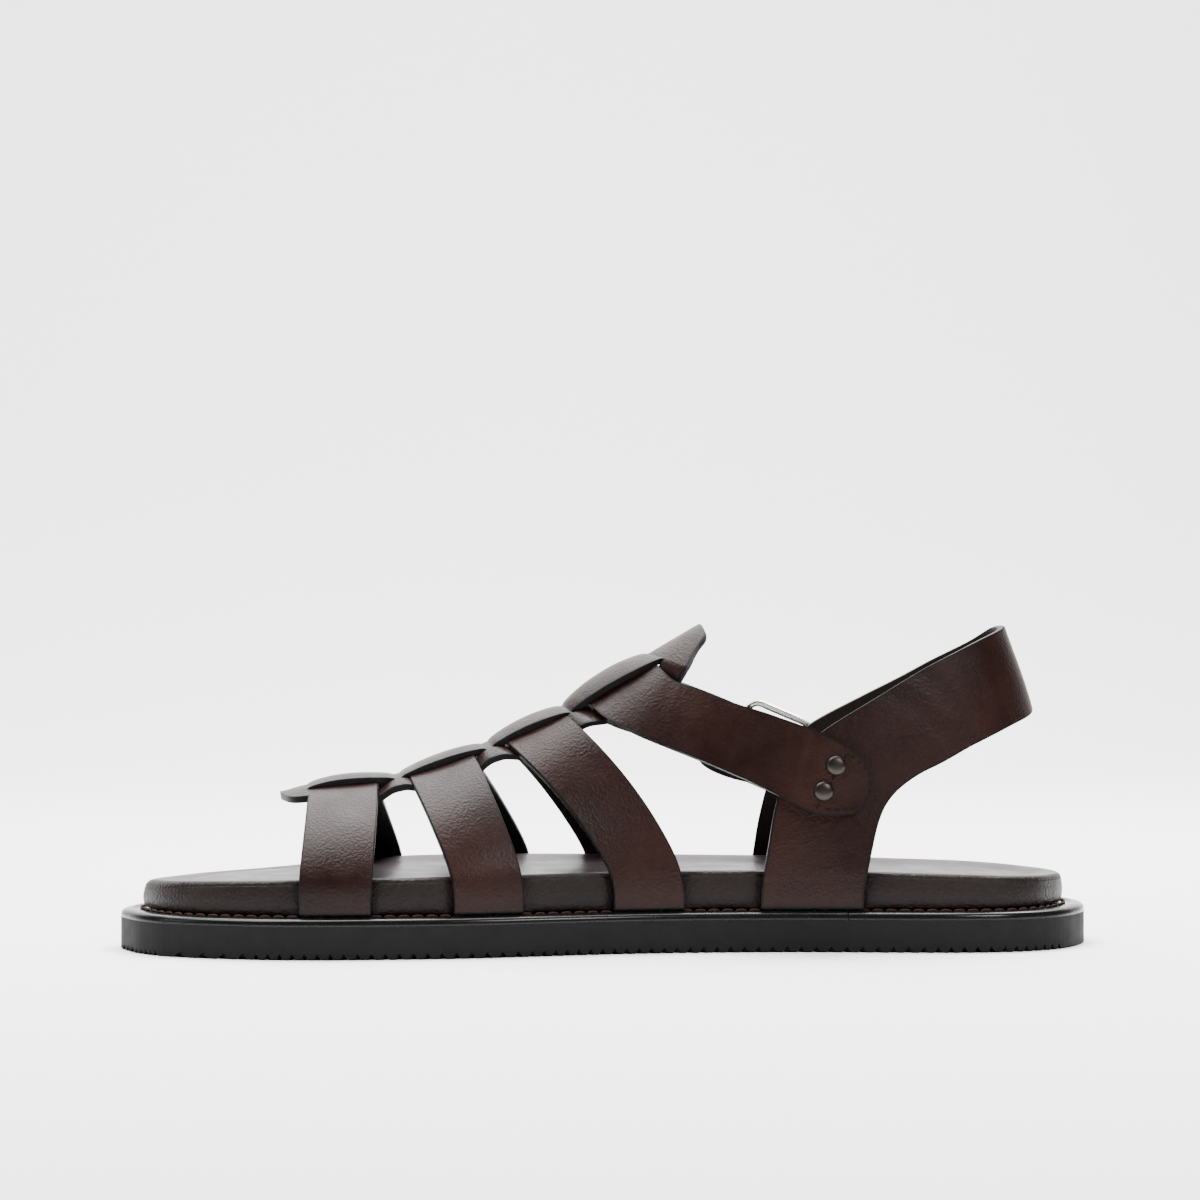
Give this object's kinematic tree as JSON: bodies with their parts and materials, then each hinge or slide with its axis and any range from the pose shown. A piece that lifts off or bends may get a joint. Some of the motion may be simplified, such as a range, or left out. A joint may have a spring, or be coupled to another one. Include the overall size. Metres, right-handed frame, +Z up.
{
  "type": "fisherman sandal",
  "caption": "Right-foot leather fisherman sandal with woven cross straps, a buckled ankle strap, a heel strap and a flat rubber sole.",
  "frame": {"origin": "on the ground, in the middle of the sole's length and width", "axes": "+X from toe to heel, +Y from the inner to the outer side of the foot, +Z up"},
  "size_m": [0.2962, 0.1051, 0.0983],
  "materials": {
    "outsole_rubber": "matte charcoal rubber",
    "welt_strip": "glossy black edge-dressed leather",
    "footbed_leather": "dark brown leather with a soft sheen",
    "strap_leather": "dark brown grained leather, lightly burnished",
    "dark_metal": "dark gunmetal plating",
    "pale_metal": "pale nickel plating"
  },
  "bodies": {
    "root": {"outsole": "outsole_rubber", "welt": "welt_strip", "footbed": "footbed_leather", "upper": "strap_leather", "heel_strap": "strap_leather", "ankle_strap": "strap_leather", "rivet_upper": "dark_metal", "rivet_lower": "dark_metal", "buckle_frame": "pale_metal", "buckle_prong": "pale_metal", "buckle_chape": "strap_leather", "keeper": "strap_leather"}
  },
  "joints": []
}
